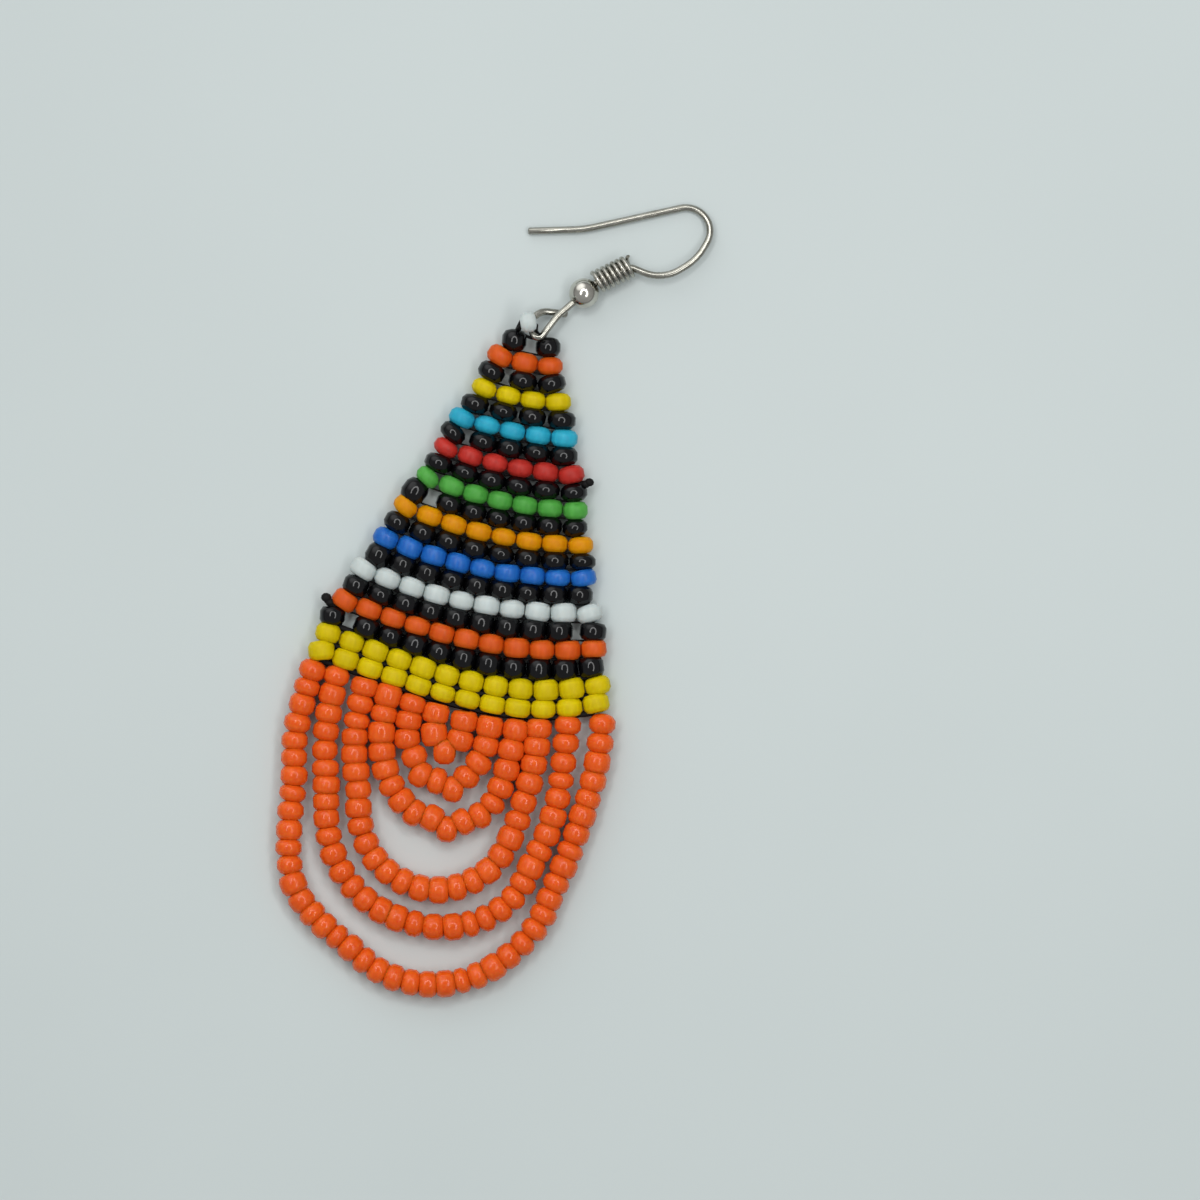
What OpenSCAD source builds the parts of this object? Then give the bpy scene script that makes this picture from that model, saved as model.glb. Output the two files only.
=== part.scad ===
/* [Seed beads] */
// Width across one seed bead of the panel
bead_w = 2.4; // [2.2:0.05:2.4]
// Length of one seed bead along its hole
bead_l = 1.55; // [1.3:0.05:1.55]
// Bevel at both ends of a seed bead
bead_bevel = 0.25; // [0.1:0.05:0.4]
// Width of the thread bridge that joins the beads of a row
bridge_w = 0.8; // [0.5:0.1:1]
// Width across a string of seed beads in the swags
string_w = 2.2; // [1.8:0.1:2.2]

/* [Top bead] */
// Width across the single bead that ties the panel to the hook
top_bead_w = 2.1; // [1.8:0.1:2.2]
// Length of that bead along its hole
top_bead_l = 1.6; // [1.2:0.1:1.8]
// Width of its hole
top_bead_hole = 0.8; // [0.5:0.1:0.9]

/* [Ear hook] */
// Thickness of the ear wire
wire_d = 0.7; // [0.6:0.05:0.75]
// Width across the ball on the wire
ball_d = 3; // [2.8:0.1:3]
// Width of the hole through the ball
ball_hole = 0.9; // [0.85:0.05:1.2]
// Width across the outside of the coil
coil_w = 2.3; // [2.2:0.1:2.4]
// Thickness of the coil's wire
coil_wire = 0.42; // [0.34:0.02:0.42]
// Whole and part turns of the coil
coil_turns = 6.9; // [5:0.1:7]
// Slope of the hook from the ball down to its far bend and its tail, in degrees
hook_slope = 9.2; // [9:0.1:9.4]

/* [Hidden] */
$fn = 48;

black_glass = [0.09, 0.09, 0.10];
orange_glass = [0.87, 0.38, 0.07];
yellow_glass = [0.86, 0.77, 0.02];
turquoise_glass = [0.19, 0.69, 0.79];
red_glass = [0.77, 0.21, 0.16];
green_glass = [0.36, 0.69, 0.30];
amber_glass = [0.87, 0.60, 0.02];
blue_glass = [0.13, 0.45, 0.78];
white_glass = [0.80, 0.84, 0.83];
coral_glass = [0.93, 0.38, 0.12];
nickel = [0.78, 0.76, 0.71];

// Bead rows of the panel, from the hook down. The beads of a row lie between its two end beads,
// on a curve that sags below the straight line between them. The last two columns are room left
// free beside the first bead and beside the last one.
// Columns: glass, first x, first y, last x, last y, sag, room after first, room before last
ROWS = [
    [black_glass, -0.8, -1.85, 2.9, -1.95, 0, 0, 0],
    [orange_glass, -1.9, -3.7, 3.2, -3.7, 0.2, 0, 0],
    [black_glass, -2.4, -5.35, 3.7, -5.35, 0.4, 0.4, 0],
    [yellow_glass, -2.8, -7.15, 4.7, -7.05, 0.3, 0, 0],
    [black_glass, -3.4, -8.8, 5.4, -8.7, 0.3, 0, 0],
    [turquoise_glass, -4.4, -10.5, 6.0, -10.5, 0.3, 0, 0],
    [black_glass, -5.0, -12.1, 6.3, -12.2, 0.3, 0.4, 0],
    [red_glass, -5.4, -13.7, 7.4, -13.9, 0.5, 0, 0],
    [black_glass, -5.8, -15.3, 8.0, -15.6, 0.6, 0, 0],
    [green_glass, -6.6, -16.9, 8.5, -17.3, 0.7, 0, 0],
    [black_glass, -7.6, -18.5, 8.8, -19.0, 0.8, 1.1, 0],
    [amber_glass, -8.2, -20.2, 9.7, -20.6, 0.9, 0, 0],
    [black_glass, -8.7, -21.9, 10.2, -22.2, 1.0, 0, 0],
    [blue_glass, -9.5, -23.7, 10.6, -23.75, 1.1, 0, 0],
    [black_glass, -9.9, -25.5, 10.6, -25.45, 1.1, 0, 0],
    [white_glass, -11.1, -27.2, 11.9, -27.1, 1.2, 0, 0],
    [black_glass, -11.5, -28.9, 12.6, -28.8, 1.3, 0, 0.7],
    [orange_glass, -12.3, -30.6, 13.0, -30.5, 1.5, 0, 0],
    [black_glass, -13.2, -32.3, 13.1, -32.2, 1.6, 1.0, 0],
    [yellow_glass, -13.3, -34.1, 14.1, -34.0, 1.8, 0, 0],
    [yellow_glass, -13.6, -36.0, 14.3, -35.8, 1.9, 0, 0],
];

// Centre lines of the swags, from the longest to the shortest, each from its left end round its
// lowest point to its right end. Columns of a point: x, y
SWAGS = [
    [
        [-14.0, -37.2], [-14.4, -41.0], [-14.5, -45.0], [-13.8, -49.0], [-13.4, -53.0], [-12.7, -57.0],
        [-11.3, -60.3], [-8.6, -62.9], [-5.4, -64.7], [-2.0, -66.5], [1.6, -67.0], [5.2, -66.2],
        [8.6, -64.3], [11.3, -61.4], [13.0, -58.3], [13.7, -55.0], [14.5, -51.5], [15.1, -47.5],
        [15.5, -43.5], [15.5, -40.0], [15.2, -37.0],
    ],
    [
        [-11.4, -37.9], [-11.7, -41.5], [-11.4, -45.2], [-10.5, -49.0], [-9.7, -52.8], [-8.1, -56.2],
        [-5.4, -58.9], [-2.2, -60.4], [1.3, -60.9], [4.8, -60.4], [7.9, -58.8], [10.1, -56.2],
        [11.2, -52.7], [12.1, -49.3], [12.4, -45.5], [12.2, -41.5], [11.9, -37.7],
    ],
    [
        [-8.8, -38.4], [-8.8, -41.8], [-8.4, -45.3], [-7.3, -48.8], [-6.5, -52.0], [-4.7, -54.9],
        [-2.0, -56.7], [1.4, -57.3], [4.6, -56.3], [7.2, -54.0], [8.5, -50.8], [9.1, -47.2],
        [9.4, -43.0], [9.4, -38.4],
    ],
    [
        [-6.2, -38.8], [-6.2, -42.0], [-5.6, -45.0], [-4.1, -47.8], [-1.6, -49.9], [1.4, -50.6],
        [4.2, -49.5], [6.0, -47.2], [6.8, -44.5], [6.9, -41.8], [6.9, -38.8],
    ],
    [
        [-3.7, -39.0], [-3.6, -41.4], [-3.1, -43.7], [-1.7, -45.7], [0.5, -46.5], [2.4, -45.9],
        [3.7, -44.2], [4.3, -41.8], [4.4, -39.0],
    ],
    [
        [-1.2, -39.1], [-1.1, -41.2], [-0.6, -42.7], [0.4, -43.4], [1.4, -42.7], [1.8, -41.2],
        [1.8, -39.1],
    ],
];

// Bends of the ear wire, starting in the middle of the ball.
// Columns: straight length, roll of the bending plane, bend radius, bend angle with left positive
HOOK_BENDS = [
    [1.3, 0, 3.0, -15.5],
    [2.65, 0, 1.4, -51.5],
    [0.7, 0, 3.9, 74],
    [2.3, 0, 2.3, 143.5],
    [9.3, 0, 13, -11],
];
// Straight tail of the ear wire, which goes through the ear lobe
tail_l = 3.9;
EYE_BENDS = [
    [3.3, 0, 1.9, 11],
    [2.3, 0, 0.55, -124],
    [0.7, 17, 1.0, -71],
    [0.5, 0, 1.6, -44],
    [1.5, 0, 1.7, -12],
];
// Straight end of the eye, past the point where it crosses below the wire
eye_end_l = 0.2;

// Middle of the whole earring, measured from the top bead's end of the panel
middle_x = 0.5;
middle_y = -26.6;

// Place of the ball's centre
ball_x = 5.1;
ball_y = 4.1;
// Heading of the wire as it leaves the ball, and direction in which the hook slopes down
hook_heading = 52.8;
slope_heading = 109;

// Sides of the swept wire, the most that it turns between two rings, its size beside a true
// cylinder, and how far it reaches into the tail
WIRE_SIDES = 8;
BEND_STEP = 20;
WIRE_FIT = 0.98;
tail_lap = 0.5;

// Middle of the coil, in the plane of the hook, measured from the ball, and its heading
coil_x = 2.5;
coil_y = 2.47;
coil_heading = 37;
coil_pitch = 0.54;
COIL_SIDES = 6;
COIL_STEPS = 12;

top_bead_x = 0.3;
top_bead_y = -0.2;
top_bead_z = 3.4;
top_bead_heading = 20;

STRING_SIDES = 8;
bead_z = bead_w / 2;
string_z = string_w / 2;

function two_digits(k) = str(k < 10 ? "0" : "", k);
function row_name(k) = str("bead_row_", two_digits(k));
function swag_name(k) = str("swag_", k);
ROW_NUMBERS = [for (k = [1:len(ROWS)]) k];
SWAG_NUMBERS = [for (k = [1:len(SWAGS)]) k];

// Two beads in the first row, three in the next two, and so on down the panel
function row_beads(k) = floor(k / 2) + 2;
function row_glass(k) = ROWS[k - 1][0];
function row_first(k) = [ROWS[k - 1][1], ROWS[k - 1][2]];
function row_last(k) = [ROWS[k - 1][3], ROWS[k - 1][4]];
function row_sag(k) = ROWS[k - 1][5];
function row_chord(k) = norm(row_last(k) - row_first(k));
function row_turn(k) = atan2(row_last(k).y - row_first(k).y, row_last(k).x - row_first(k).x);
function row_room(k, i) =
    (i > 0 ? ROWS[k - 1][6] : 0) + (i == row_beads(k) - 1 ? ROWS[k - 1][7] : 0);
function row_pitch(k) = (row_chord(k) - ROWS[k - 1][6] - ROWS[k - 1][7]) / (row_beads(k) - 1);

// Share of the row's straight line at which bead i stands
function bead_share(k, i) = (i * row_pitch(k) + row_room(k, i)) / row_chord(k);
function bead_drop(k, i) = 4 * row_sag(k) * bead_share(k, i) * (1 - bead_share(k, i));
function bead_place(k, i) =
    row_first(k) + bead_share(k, i) * (row_last(k) - row_first(k))
    + bead_drop(k, i) * [sin(row_turn(k)), -cos(row_turn(k))];
function bead_turn(k, i) =
    row_turn(k) - atan(4 * row_sag(k) * (1 - 2 * bead_share(k, i)) / row_chord(k));

module seed_bead(width, length, hole = 0) {
    rotate([90, 0, 0])
        rotate_extrude()
            polygon([
                [hole / 2, -length / 2],
                [width / 2 - bead_bevel, -length / 2],
                [width / 2, -length / 2 + bead_bevel],
                [width / 2, length / 2 - bead_bevel],
                [width / 2 - bead_bevel, length / 2],
                [hole / 2, length / 2],
            ]);
}

// A bridge reaches from inside one bead to inside the next, a quarter of a bead short of both middles
module thread_bridge(from, to) {
    middle = (from + to) / 2;
    gap = to - from;
    translate([middle.x, middle.y, bead_z])
        rotate([0, 90, atan2(gap.y, gap.x)])
            cylinder(d = bridge_w, h = norm(gap) - bead_w / 2, center = true);
}

// Moves the earring so that the middle of its footprint is the origin
module centred() {
    translate([-middle_x, -middle_y, 0])
        children();
}

module bead_row(k) {
    color(row_glass(k))
        centred() {
            for (i = [0:row_beads(k) - 1])
                translate([bead_place(k, i).x, bead_place(k, i).y, bead_z])
                    rotate([0, 0, bead_turn(k, i)])
                        seed_bead(bead_w, bead_l);
            for (i = [1:row_beads(k) - 1])
                thread_bridge(bead_place(k, i - 1), bead_place(k, i));
        }
}

// Faces that close rings of points, listed one ring after another, into one solid
function side_faces(rings, sides) = [
    for (r = [0:rings - 2], s = [0:sides - 1])
        [r * sides + s, r * sides + (s + 1) % sides, (r + 1) * sides + (s + 1) % sides, (r + 1) * sides + s]
];
function end_faces(rings, sides) = [
    [for (s = [sides - 1:-1:0]) s],
    [for (s = [0:sides - 1]) (rings - 1) * sides + s],
];

// Heading of a route at point i, halfway between the stretches on both sides of it
function unit(v) = v / norm(v);
function route_heading(route, i) =
    unit(
        (i > 0 ? unit(route[i] - route[i - 1]) : [0, 0])
        + (i < len(route) - 1 ? unit(route[i + 1] - route[i]) : [0, 0])
    );
function string_corner(route, i, s) =
    let (
        angle = (s + 0.5) * 360 / STRING_SIDES,
        reach = string_z / cos(180 / STRING_SIDES),
        along = route_heading(route, i),
        aside = reach * cos(angle)
    )
    [route[i].x + aside * along.y, route[i].y - aside * along.x, string_z + reach * sin(angle)];

module swag(k) {
    route = SWAGS[k - 1];
    color(coral_glass)
        centred()
            polyhedron(
                points = [for (i = [0:len(route) - 1], s = [0:STRING_SIDES - 1]) string_corner(route, i, s)],
                faces = concat(side_faces(len(route), STRING_SIDES), end_faces(len(route), STRING_SIDES))
            );
}

// Puts the hook's own plane, with the ball at its origin, where the hook lies
module at_hook() {
    centred()
        translate([ball_x, ball_y, ball_d / 2])
            rotate([0, 0, slope_heading])
                rotate([0, hook_slope, 0])
                    rotate([0, 0, -slope_heading])
                        children();
}

// A place on the wire: where it is, the direction ahead and the direction to its left
function turned(place, angle) = [
    place[0],
    cos(angle) * place[1] + sin(angle) * place[2],
    cos(angle) * place[2] - sin(angle) * place[1],
];
function rolled(place, angle) = [
    place[0],
    place[1],
    cos(angle) * place[2] + sin(angle) * cross(place[1], place[2]),
];
function moved(place, length) = [place[0] + length * place[1], place[1], place[2]];
function bent(place, radius, angle) =
    let (ahead = turned(place, angle), side = sign(angle) * radius)
    [place[0] + side * (place[2] - ahead[2]), ahead[1], ahead[2]];

// Places along a table of straights and bends, each starting where the last one ended
function wire_places(bends, place, i = 0) =
    i == len(bends) ? [] :
    let (
        straight = bends[i][0],
        roll = bends[i][1],
        radius = bends[i][2],
        angle = bends[i][3],
        steps = ceil(abs(angle) / BEND_STEP),
        corner = rolled(moved(place, straight), roll)
    )
    concat(
        [corner],
        [for (j = [1:steps]) bent(corner, radius, angle * j / steps)],
        wire_places(bends, bent(corner, radius, angle), i + 1)
    );
function reversed(places) = [
    for (i = [len(places) - 1:-1:0]) [places[i][0], -places[i][1], -places[i][2]]
];
function wire_corner(place, s) =
    let (angle = 360 * s / WIRE_SIDES, reach = WIRE_FIT * wire_d / 2)
    place[0] + reach * cos(angle) * place[2] + reach * sin(angle) * cross(place[2], place[1]);

BALL_FRONT = [
    [0, 0, 0],
    [cos(hook_heading), sin(hook_heading), 0],
    [-sin(hook_heading), cos(hook_heading), 0],
];
FRONT_PLACES = wire_places(HOOK_BENDS, BALL_FRONT);
EYE_PLACES = wire_places(EYE_BENDS, reversed([BALL_FRONT])[0]);
EYE_END = moved(EYE_PLACES[len(EYE_PLACES) - 1], eye_end_l);
TAIL_START = FRONT_PLACES[len(FRONT_PLACES) - 1];

// The bent part of the wire is one swept tube, from the eye's end to inside the tail
module bent_wire() {
    places = concat(reversed(concat(EYE_PLACES, [EYE_END])), FRONT_PLACES, [moved(TAIL_START, tail_lap)]);
    polyhedron(
        points = [for (p = places, s = [0:WIRE_SIDES - 1]) wire_corner(p, s)],
        faces = concat(side_faces(len(places), WIRE_SIDES), end_faces(len(places), WIRE_SIDES))
    );
}

module ear_hook() {
    color(nickel)
        at_hook() {
            bent_wire();
            translate(TAIL_START[0])
                rotate([0, 90, atan2(TAIL_START[1].y, TAIL_START[1].x)])
                    cylinder(d = wire_d, h = tail_l);
        }
}

module hook_ball() {
    color(nickel)
        at_hook()
            rotate([0, 90, hook_heading])
                difference() {
                    sphere(d = ball_d);
                    cylinder(d = ball_hole, h = 2 * ball_d, center = true);
                }
}

// A point of the coil's wire, in a frame whose X axis runs along the coil
function coil_corner(step, s) =
    let (
        turn = 360 * step / COIL_STEPS,
        angle = 360 * s / COIL_SIDES,
        reach = (coil_w - coil_wire) / 2 + coil_wire / 2 * cos(angle),
        along = coil_pitch * step / COIL_STEPS + coil_wire / 2 * sin(angle)
    )
    [along - coil_pitch * coil_turns / 2, reach * cos(turn), reach * sin(turn)];

module hook_coil() {
    steps = round(coil_turns * COIL_STEPS);
    color(nickel)
        at_hook()
            translate([coil_x, coil_y, 0])
                rotate([0, 0, coil_heading])
                    polyhedron(
                        points = [for (r = [0:steps], s = [0:COIL_SIDES - 1]) coil_corner(r, s)],
                        faces = concat(side_faces(steps + 1, COIL_SIDES), end_faces(steps + 1, COIL_SIDES))
                    );
}

module top_bead() {
    color(white_glass)
        centred()
            translate([top_bead_x, top_bead_y, top_bead_z])
                rotate([0, 0, top_bead_heading + 90])
                    seed_bead(top_bead_w, top_bead_l, top_bead_hole);
}

ear_hook();
hook_ball();
hook_coil();
top_bead();
for (k = ROW_NUMBERS)
    bead_row(k);
for (k = SWAG_NUMBERS)
    swag(k);
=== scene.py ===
"""Looks of a beaded drop earring: glass seed beads, black thread and a nickel-plated ear wire.

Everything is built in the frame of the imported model: X runs across the rows of beads, Y along the
earring towards its hook, and Z up from the surface that the earring lies on. Sizes are given in
millimetres and become metres as they reach Blender. Places are measured from the top of the panel,
angles are in degrees, and colours are screen levels from 0 to 255.
"""
import logging
import math
import random
from dataclasses import dataclass
from dataclasses import field
from enum import Enum
from typing import Callable
from typing import Sequence

import bpy
from mathutils import Euler
from mathutils import Matrix
from mathutils import Vector


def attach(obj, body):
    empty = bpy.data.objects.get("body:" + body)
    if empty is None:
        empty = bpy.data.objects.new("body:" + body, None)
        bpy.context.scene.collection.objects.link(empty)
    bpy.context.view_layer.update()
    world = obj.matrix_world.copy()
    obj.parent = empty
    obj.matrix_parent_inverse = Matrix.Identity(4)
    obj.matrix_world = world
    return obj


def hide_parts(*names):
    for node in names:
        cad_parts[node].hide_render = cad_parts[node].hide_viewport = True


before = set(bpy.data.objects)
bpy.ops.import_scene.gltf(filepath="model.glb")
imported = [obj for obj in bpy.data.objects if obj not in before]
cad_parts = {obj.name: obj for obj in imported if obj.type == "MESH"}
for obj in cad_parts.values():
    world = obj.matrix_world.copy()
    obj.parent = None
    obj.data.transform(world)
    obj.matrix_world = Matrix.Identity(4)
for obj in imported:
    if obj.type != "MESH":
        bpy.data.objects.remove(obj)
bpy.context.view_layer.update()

LOG = logging.getLogger("earring")
MM = 0.001

# From the top of the panel, where places are measured, to the middle of the footprint
TO_MIDDLE = Vector((-0.5, 26.6, 0.0))

# A face counts as facing along an axis where its normal has this share of that axis or more
FACING = 0.9
# Points that lie closer together than this are one point
SAME_POINT = 0.001

# The standard screen curve: a straight toe, and above it a power of the level
SCREEN_TOE = 0.04045
SCREEN_TOE_SLOPE = 12.92
SCREEN_OFFSET = 0.055
SCREEN_POWER = 2.4

# The attribute that holds how dark each bead is
BEAD_TONE = "bead_tone"

Point = tuple[float, float, float]
Spot = tuple[float, float]
Levels = tuple[float, float, float]


def metres(x: float, y: float, z: float) -> Vector:
    """Turns a place in millimetres, measured from the top of the panel, into metres in the frame."""
    return (Vector((x, y, z)) + TO_MIDDLE) * MM


def linear(level: float) -> float:
    """Turns one screen level into the linear light level that Blender uses.

    Args:
        level: The screen level, from 0 to 255.

    Returns:
        The light level, from 0 to 1.
    """
    share = level / 255
    if share <= SCREEN_TOE:
        return share / SCREEN_TOE_SLOPE
    return ((share + SCREEN_OFFSET) / (1 + SCREEN_OFFSET)) ** SCREEN_POWER


def linear_colour(red: float, green: float, blue: float) -> tuple[float, float, float, float]:
    """Turns screen levels into a linear colour with full alpha."""
    return (linear(red), linear(green), linear(blue), 1.0)


def deselect_all() -> None:
    """Leaves edit mode and deselects everything, because an operator acts on all that is selected."""
    if bpy.context.mode != "OBJECT":
        bpy.ops.object.mode_set(mode="OBJECT")
    bpy.ops.object.select_all(action="DESELECT")


def make_active(piece: bpy.types.Object) -> None:
    """Selects one piece alone and makes it the active one.

    Args:
        piece: The piece.
    """
    deselect_all()
    piece.select_set(True)
    bpy.context.view_layer.objects.active = piece


def select_faces(piece: bpy.types.Object, wanted: Callable[[bpy.types.MeshPolygon], bool]) -> None:
    """Selects the faces of a piece that pass a test, and leaves the piece in edit mode.

    Args:
        piece: The active mesh object.
        wanted: The test that a face has to pass.
    """
    bpy.ops.object.mode_set(mode="EDIT")
    bpy.ops.mesh.select_mode(type="FACE")
    bpy.ops.mesh.select_all(action="DESELECT")
    bpy.ops.object.mode_set(mode="OBJECT")
    for face in piece.data.polygons:
        face.select = wanted(face)
    bpy.ops.object.mode_set(mode="EDIT")


def select_open_edges() -> None:
    """Selects the edges round every hole of the mesh in edit mode."""
    bpy.ops.mesh.select_mode(type="EDGE")
    bpy.ops.mesh.select_all(action="DESELECT")
    bpy.ops.mesh.select_non_manifold()


def mend_normals() -> None:
    """Merges doubled points of the mesh in edit mode and turns all its faces outwards."""
    bpy.ops.mesh.select_all(action="SELECT")
    bpy.ops.mesh.remove_doubles(threshold=SAME_POINT * MM)
    bpy.ops.mesh.normals_make_consistent(inside=False)
    bpy.ops.object.mode_set(mode="OBJECT")


def apply_place() -> None:
    """Moves the active piece's place, turn and size into its mesh."""
    bpy.ops.object.transform_apply(location=True, rotation=True, scale=True)


def smooth(piece: bpy.types.Object, edge_angle: float) -> None:
    """Shades a piece smoothly, apart from edges sharper than an angle in degrees."""
    make_active(piece)
    bpy.ops.object.shade_smooth_by_angle(angle=math.radians(edge_angle))


def dress(piece: bpy.types.Object, material: bpy.types.Material) -> None:
    """Gives a piece one material."""
    piece.data.materials.clear()
    piece.data.materials.append(material)


def join(name: str, parts: Sequence[bpy.types.Object]) -> bpy.types.Object:
    """Joins mesh objects into one piece.

    Args:
        name: Name of the joined piece.
        parts: The objects, of which the first one keeps its place.

    Returns:
        The joined piece.
    """
    make_active(parts[0])
    for part in parts[1:]:
        part.select_set(True)
    bpy.ops.object.join()
    piece = bpy.context.object
    piece.name = name
    piece.data.name = name
    return piece


def hand_over(piece: bpy.types.Object, slot: str | None, *nodes: str) -> bpy.types.Object:
    """Ties a finished piece to the part's frame.

    Args:
        piece: The finished piece, with its place in its mesh.
        slot: Not used.
        nodes: CAD nodes that it stands for.

    Returns:
        The same piece.
    """
    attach(piece, "root")
    if nodes:
        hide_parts(*nodes)
    return piece


class Ramp(Enum):
    """The ways from one end of a range to the other, by Blender's names."""

    STRAIGHT = "LINEAR"
    EASED = "SMOOTHSTEP"


class NodeSheet:
    """A node tree, with short calls that add its nodes."""

    def __init__(self, tree: bpy.types.NodeTree) -> None:
        """Takes up a node tree."""
        self.tree = tree

    def add(self, kind: str, **settings: object) -> bpy.types.Node:
        """Adds one node.

        Args:
            kind: Blender's name of the node's type.
            settings: Properties of the node.

        Returns:
            The new node.
        """
        node = self.tree.nodes.new(kind)
        for key, value in settings.items():
            setattr(node, key, value)
        return node

    def link(self, source: bpy.types.NodeSocket, target: bpy.types.NodeSocket) -> None:
        """Joins an output socket to an input socket."""
        self.tree.links.new(source, target)

    def spread(
        self,
        level: bpy.types.NodeSocket,
        low: float,
        high: float,
        start: float = 0.3,
        stop: float = 0.7,
        ramp: Ramp = Ramp.STRAIGHT,
    ) -> bpy.types.NodeSocket:
        """Maps a stretch of a level onto a range.

        Args:
            level: The level.
            low: What the start of the stretch becomes.
            high: What its end becomes.
            start: Start of the stretch, where most of a noise starts unless it is given.
            stop: End of the stretch, where most of a noise ends unless it is given.
            ramp: The way from the one to the other.

        Returns:
            The new level.
        """
        node = self.add("ShaderNodeMapRange", interpolation_type=ramp.value)
        node.inputs["From Min"].default_value = start
        node.inputs["From Max"].default_value = stop
        node.inputs["To Min"].default_value = low
        node.inputs["To Max"].default_value = high
        self.link(level, node.inputs["Value"])
        return node.outputs["Result"]


class MaterialSheet(NodeSheet):
    """A new material's node tree, with short calls for its shader."""

    def __init__(self, name: str) -> None:
        """Makes an empty material with a Principled shader.

        Args:
            name: Name of the material.
        """
        self.material = bpy.data.materials.new(name)
        self.material.use_nodes = True
        super().__init__(self.material.node_tree)
        self.shader = self.tree.nodes["Principled BSDF"]

    def set(self, socket: str, value: float | Sequence[float]) -> None:
        """Sets a value that is the same all over the piece."""
        self.shader.inputs[socket].default_value = value

    def noise(
        self,
        grain: float,
        detail: float,
        stretch: Sequence[float] = (1, 1, 1),
    ) -> bpy.types.NodeSocket:
        """Adds a noise that is fixed to the piece.

        Args:
            grain: Size of its blotches.
            detail: Levels of finer noise in it.
            stretch: How much denser it is along each axis.

        Returns:
            The noise's level, from 0 to 1.
        """
        place = self.add("ShaderNodeTexCoord")
        mapping = self.add("ShaderNodeMapping")
        mapping.inputs["Scale"].default_value = stretch
        noise = self.add("ShaderNodeTexNoise")
        noise.inputs["Scale"].default_value = 1 / (grain * MM)
        noise.inputs["Detail"].default_value = detail
        self.link(place.outputs["Object"], mapping.inputs["Vector"])
        self.link(mapping.outputs["Vector"], noise.inputs["Vector"])
        return noise.outputs["Fac"]

    def blend(
        self,
        level: bpy.types.NodeSocket,
        first: Levels | bpy.types.NodeSocket,
        second: Levels,
    ) -> bpy.types.NodeSocket:
        """Mixes two colours.

        Args:
            level: Share of the second colour.
            first: Screen levels at level 0, or a socket that gives a colour.
            second: Screen levels at level 1.

        Returns:
            The mixed colour.
        """
        mix = self.add("ShaderNodeMix", data_type="RGBA")
        self.link(level, mix.inputs["Factor"])
        if isinstance(first, bpy.types.NodeSocket):
            self.link(first, mix.inputs["A"])
        else:
            mix.inputs["A"].default_value = linear_colour(*first)
        mix.inputs["B"].default_value = linear_colour(*second)
        return mix.outputs["Result"]

    def paint(self, colour: bpy.types.NodeSocket) -> None:
        """Gives the shader its colour."""
        self.link(colour, self.shader.inputs["Base Color"])

    def dull(self, roughness: bpy.types.NodeSocket) -> None:
        """Gives the shader its roughness."""
        self.link(roughness, self.shader.inputs["Roughness"])

    def bump(self, level: bpy.types.NodeSocket, depth: float, strength: float) -> None:
        """Gives the shader a relief.

        Args:
            level: Height of the relief, from 0 to 1.
            depth: Its depth.
            strength: Share of it that is shown.
        """
        bump = self.add("ShaderNodeBump")
        bump.inputs["Strength"].default_value = strength
        bump.inputs["Distance"].default_value = depth * MM
        self.link(level, bump.inputs["Height"])
        self.link(bump.outputs["Normal"], self.shader.inputs["Normal"])


@dataclass(frozen=True)
class GlassFinish:
    """Opaque coloured bead glass.

    Attributes:
        name: Name of the material.
        colour: Colour of the glass.
        dark: Colour of the darker streaks in it.
        roughness: How dull its surface is.
        shine: Level of the mirror-like part, where 0.5 is plain glass.
        clear: Share of the light that goes into the glass before it comes back out.
        worn: How many times as dull as the rest its dullest places are.
        pits: Depth of its pits.
        fresh: How many times as dull as the rest its glossiest places are.
        streak: Size of its streaks.
        stretch: How much denser the streaks are along each axis.
        streaked: How dark the darkest streak is, where 1 is the dark colour.
        smear: Size of its duller places.
        pit: Size of its pits.
        relief: Share of their depth that is shown.
        reach: How far light goes into it.
        reach_shares: Share of that way that red, green and blue light goes.
    """

    name: str
    colour: Levels
    dark: Levels
    roughness: float
    shine: float
    clear: float = 0.7
    worn: float = 1.2
    pits: float = 0.004
    fresh: float = 0.85
    streak: float = 0.5
    stretch: tuple[float, float, float] = (1.0, 0.35, 1.0)
    streaked: float = 0.5
    smear: float = 0.8
    pit: float = 0.35
    relief: float = 0.4
    reach: float = 0.8
    reach_shares: tuple[float, float, float] = (1.0, 0.85, 0.75)

    def material(self) -> bpy.types.Material:
        """Draws streaks in the glass, and adds a tone for each bead, duller places and small pits.

        Returns:
            The new material.
        """
        sheet = MaterialSheet(self.name)
        tone = sheet.add("ShaderNodeAttribute", attribute_name=BEAD_TONE)
        streaks = sheet.noise(self.streak, detail=3, stretch=self.stretch)
        body = sheet.blend(sheet.spread(streaks, 0.0, self.streaked), self.colour, self.dark)
        sheet.paint(sheet.blend(tone.outputs["Fac"], body, self.dark))
        smears = sheet.noise(self.smear, detail=2)
        sheet.dull(sheet.spread(smears, self.roughness * self.fresh, self.roughness * self.worn))
        sheet.set("Specular IOR Level", self.shine)
        sheet.set("Subsurface Weight", self.clear)
        sheet.set("Subsurface Radius", self.reach_shares)
        sheet.set("Subsurface Scale", self.reach * MM)
        sheet.bump(sheet.noise(self.pit, detail=1), self.pits, self.relief)
        return sheet.material


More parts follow.
